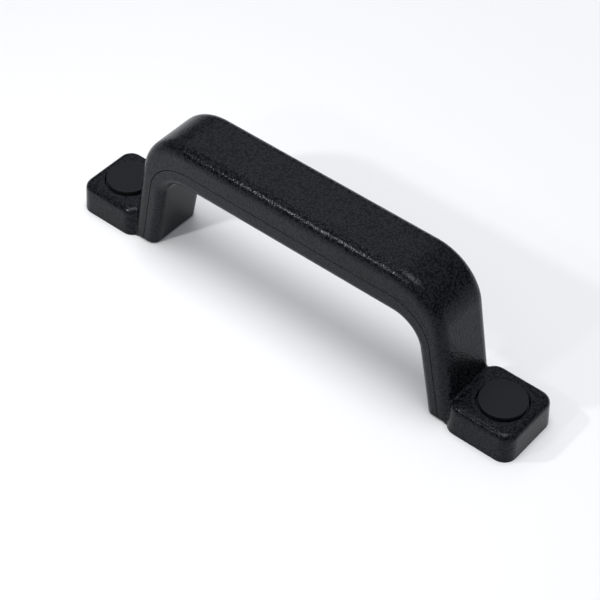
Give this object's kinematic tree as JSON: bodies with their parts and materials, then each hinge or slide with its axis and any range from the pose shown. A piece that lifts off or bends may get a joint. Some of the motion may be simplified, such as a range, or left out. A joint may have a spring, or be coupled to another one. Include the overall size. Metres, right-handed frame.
{
  "type": "car door grab handle",
  "caption": "Rigid arched pull handle with a leather-grain moulded grip, splayed legs, two block feet and round lift-off screw covers.",
  "frame": {"origin": "on the door's face, midway between the two screw holes", "axes": "+X along the grip, +Z out of the door towards the grip"},
  "size_m": [0.2038, 0.029, 0.0664],
  "materials": {
    "cover_plastic": "black leather-grain moulding, satin",
    "insert_plastic": "black leather-grain moulding, satin",
    "cap_plastic": "smooth matte black moulding",
    "seat_plastic": "plain black moulding",
    "strap_steel": "rolled spring steel, oiled",
    "spring_steel": "dark hardened steel",
    "zinc_steel": "zinc plated",
    "black_screw_steel": "black oxide"
  },
  "bodies": {
    "handle": {"grip_cover": "cover_plastic", "grip_insert": "insert_plastic", "core_strap": "strap_steel", "cap_seat_left": "seat_plastic", "plain_washer_left": "zinc_steel", "lock_washer_left": "spring_steel", "mounting_screw_left": "zinc_steel", "cap_seat_right": "seat_plastic", "plain_washer_right": "zinc_steel", "lock_washer_right": "spring_steel", "mounting_screw_right": "zinc_steel", "shell_screw_1": "black_screw_steel", "shell_screw_2": "black_screw_steel", "shell_screw_3": "black_screw_steel", "shell_screw_4": "black_screw_steel"},
    "cap_left": {"screw_cap_left": "cap_plastic"},
    "cap_right": {"screw_cap_right": "cap_plastic"}
  },
  "joints": [
    {"name": "cap_left_lift", "type": "slide", "parent": "handle", "child": "cap_left", "axis": [0, 0, 1], "range_m": [0, 0.03]},
    {"name": "cap_right_lift", "type": "slide", "parent": "handle", "child": "cap_right", "axis": [0, 0, 1], "range_m": [0, 0.03]}
  ]
}
